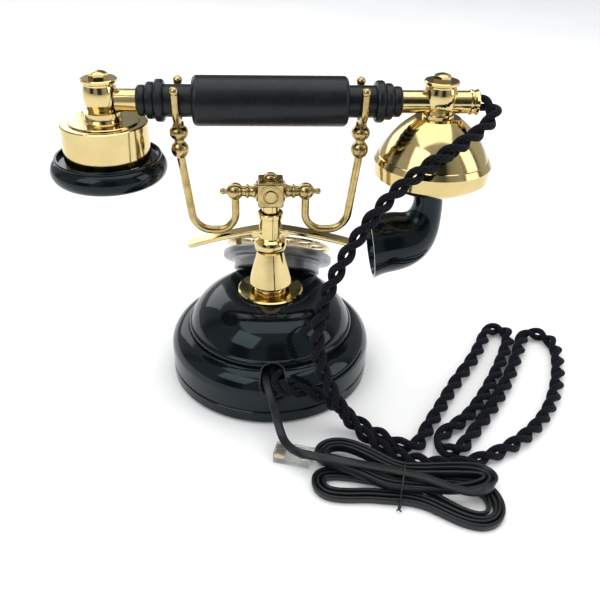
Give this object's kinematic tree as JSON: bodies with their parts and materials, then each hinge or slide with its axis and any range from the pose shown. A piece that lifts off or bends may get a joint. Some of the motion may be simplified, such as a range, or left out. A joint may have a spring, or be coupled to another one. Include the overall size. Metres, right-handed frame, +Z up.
{
  "type": "cradle telephone",
  "caption": "Old-style cradle telephone: round black base with tilted brass dial, brass stem, sprung cradle, long handset with horn mouthpiece, braided handset cord and flat line cord.",
  "frame": {"origin": "on the rest face, under the centre line of the stem", "axes": "+Z up along the stem; +X towards the mouthpiece end of the handset; +Y towards the dial, -Y towards the cords"},
  "size_m": [0.3317, 0.231, 0.1962],
  "materials": {
    "black_gloss": "glossy",
    "felt": "matte",
    "grip_black": "satin",
    "polished_brass": "polished",
    "aged_brass": "polished, dark in the recesses",
    "steel": "satin",
    "white_enamel": "glossy",
    "board_green": "satin",
    "inner_black": "matte",
    "braid_black": "matte",
    "line_grey": "satin",
    "tie_black": "satin",
    "clear_plastic": "clear glossy",
    "gold": "polished"
  },
  "bodies": {
    "base": {"felt_pad": "felt", "foot_plate": "black_gloss", "plate_screws": "steel", "base_shell": "black_gloss", "cable_grommet": "inner_black", "circuit_board": "board_green", "cord_clamp": "inner_black", "gongs": "steel", "ringer_coil": "steel", "switch_bracket": "steel", "hook_switch": "inner_black", "dial_cup": "black_gloss", "number_plate": "white_enamel", "dial_frame": "steel", "finger_stop": "polished_brass", "stem_plate": "polished_brass", "stem_cone": "polished_brass", "stem_nut": "steel", "stem_collar": "polished_brass", "stem_tube": "polished_brass", "carry_wing_left": "polished_brass", "carry_wing_right": "polished_brass", "return_spring": "steel", "handset_cord": "braid_black", "line_cord": "line_grey", "line_hank": "line_grey", "hank_tie": "tie_black", "line_plug": "clear_plastic", "plug_contacts": "gold"},
    "cradle": {"plunger_rod": "polished_brass", "cradle_hub": "aged_brass", "hub_screw": "aged_brass", "cradle_arm_left": "aged_brass", "cradle_arm_right": "aged_brass", "hook_rod_left": "aged_brass", "hook_rod_right": "aged_brass", "fork_left": "aged_brass", "fork_right": "aged_brass"},
    "handset": {"handset_tube": "polished_brass", "handset_grip": "grip_black", "grip_collar_left": "grip_black", "grip_collar_right": "grip_black", "ear_boss": "polished_brass", "mouth_boss": "polished_brass", "boss_nuts": "polished_brass", "ear_cup": "polished_brass", "ear_cap": "black_gloss", "receiver_capsule": "inner_black", "mouth_dome": "polished_brass", "mouth_pan": "polished_brass", "mouth_horn": "black_gloss", "transmitter_capsule": "inner_black", "cord_sleeve": "inner_black"},
    "dial": {"finger_wheel": "polished_brass", "dial_cap": "polished_brass", "dial_shaft": "steel", "pulse_gear": "steel"},
    "clapper": {"clapper": "steel"}
  },
  "joints": [
    {"name": "cradle_lift", "type": "slide", "parent": "base", "child": "cradle", "axis": [0, 0, 1], "range_m": [0, 0.005], "stiffness_N_per_m": 200, "springref_m": 0.02, "deforming": ["return_spring", "handset_cord"]},
    {"name": "handset_lift", "type": "slide", "parent": "cradle", "child": "handset", "axis": [0, 0, 1], "range_m": [0, 0.1], "deforming": ["handset_cord"]},
    {"name": "dial_turn", "type": "hinge", "parent": "base", "child": "dial", "pos_m": [0.00615, 0.04377, 0.0601], "axis": [-0.0857, -0.6097, -0.788], "range_deg": [0, 330], "stiffness_Nm_per_rad": 0.02, "springref_deg": -28.65},
    {"name": "clapper_swing", "type": "hinge", "parent": "base", "child": "clapper", "pos_m": [0, 0.033, 0.0176], "axis": [0, 0, 1], "range_deg": [-6, 6], "stiffness_Nm_per_rad": 0.02}
  ]
}
